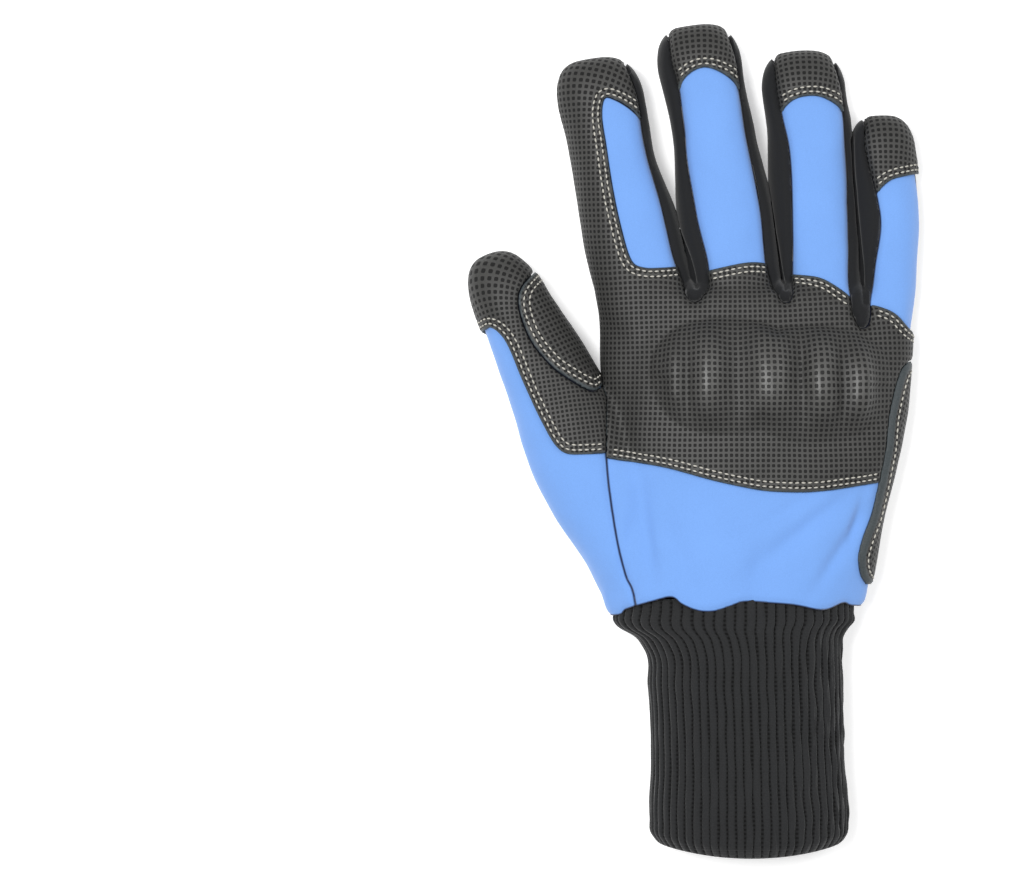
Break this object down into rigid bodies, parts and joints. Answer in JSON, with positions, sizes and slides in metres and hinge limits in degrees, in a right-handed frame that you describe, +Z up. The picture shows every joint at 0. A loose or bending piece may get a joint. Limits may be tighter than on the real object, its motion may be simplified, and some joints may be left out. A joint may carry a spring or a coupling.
{
  "type": "mechanic glove",
  "caption": "Right-hand work glove lying palm down: fabric back, leather knuckle pad, fingertips and palm patch, and a long ribbed knitted cuff with an open mouth.",
  "frame": {"origin": "middle of the underside of the part's box, on the surface that the glove lies on", "axes": "+Y from the cuff to the fingertips, +Z up out of the back of the hand, -X to the thumb"},
  "size_m": [0.1562, 0.2882, 0.0389],
  "materials": {
    "blue_fabric": "soft brushed stretch fabric",
    "black_fabric": "matt stretch fabric",
    "leather": "matt grained leather with small square dots",
    "knit": "ribbed knit",
    "thread": "twisted sewing thread"
  },
  "bodies": {
    "root": {"back_panel": "blue_fabric", "thumb_back": "blue_fabric", "palm_panel": "black_fabric", "thumb_palm": "black_fabric", "side_strip_index_middle": "black_fabric", "side_strip_middle_ring": "black_fabric", "side_strip_ring_little": "black_fabric", "knuckle_guard": "leather", "middle_cap": "leather", "ring_cap": "leather", "little_cap": "leather", "thumb_cap": "leather", "thumb_patch": "leather", "edge_guard": "leather", "palm_patch": "leather", "cuff": "knit"}
  },
  "joints": []
}
